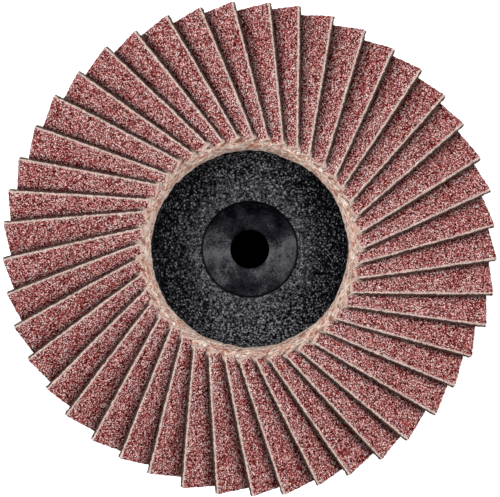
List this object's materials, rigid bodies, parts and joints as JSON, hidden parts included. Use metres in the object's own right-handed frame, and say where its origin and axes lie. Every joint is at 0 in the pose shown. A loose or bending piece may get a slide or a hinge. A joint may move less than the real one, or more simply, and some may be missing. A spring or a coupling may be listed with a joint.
{
  "type": "mini flap disc",
  "caption": "Small conical flap disc: overlapping abrasive cloth flaps glued in a ring to a black plastic plate with a threaded quick-change stud.",
  "frame": {"origin": "on the spin axis, in the plane of the flat seat on the plate's back, where the stud starts", "axes": "+Z along the spin axis, out of the working face; +X through the outer corner of flap_01's exposed edge"},
  "size_m": [0.0749, 0.075, 0.0189],
  "materials": {
    "plate_plastic": "glass-filled plastic, finely grained, smooth on the hub face",
    "resin": "hard beige resin",
    "abrasive_cloth": "brown-red abrasive grit on beige cloth with pale cut edges"
  },
  "bodies": {
    "root": {"backing_plate": "plate_plastic", "adhesive_bed": "resin", "flap_01": "abrasive_cloth", "flap_02": "abrasive_cloth", "flap_03": "abrasive_cloth", "flap_04": "abrasive_cloth", "flap_05": "abrasive_cloth", "flap_06": "abrasive_cloth", "flap_07": "abrasive_cloth", "flap_08": "abrasive_cloth", "flap_09": "abrasive_cloth", "flap_10": "abrasive_cloth", "flap_11": "abrasive_cloth", "flap_12": "abrasive_cloth", "flap_13": "abrasive_cloth", "flap_14": "abrasive_cloth", "flap_15": "abrasive_cloth", "flap_16": "abrasive_cloth", "flap_17": "abrasive_cloth", "flap_18": "abrasive_cloth", "flap_19": "abrasive_cloth", "flap_20": "abrasive_cloth", "flap_21": "abrasive_cloth", "flap_22": "abrasive_cloth", "flap_23": "abrasive_cloth", "flap_24": "abrasive_cloth", "flap_25": "abrasive_cloth", "flap_26": "abrasive_cloth", "flap_27": "abrasive_cloth", "flap_28": "abrasive_cloth", "flap_29": "abrasive_cloth", "flap_30": "abrasive_cloth", "flap_31": "abrasive_cloth", "flap_32": "abrasive_cloth", "flap_33": "abrasive_cloth", "flap_34": "abrasive_cloth", "flap_35": "abrasive_cloth", "flap_36": "abrasive_cloth", "flap_37": "abrasive_cloth", "flap_38": "abrasive_cloth", "flap_39": "abrasive_cloth", "flap_40": "abrasive_cloth", "flap_41": "abrasive_cloth", "flap_42": "abrasive_cloth", "flap_43": "abrasive_cloth", "flap_44": "abrasive_cloth", "flap_45": "abrasive_cloth"}
  },
  "joints": []
}
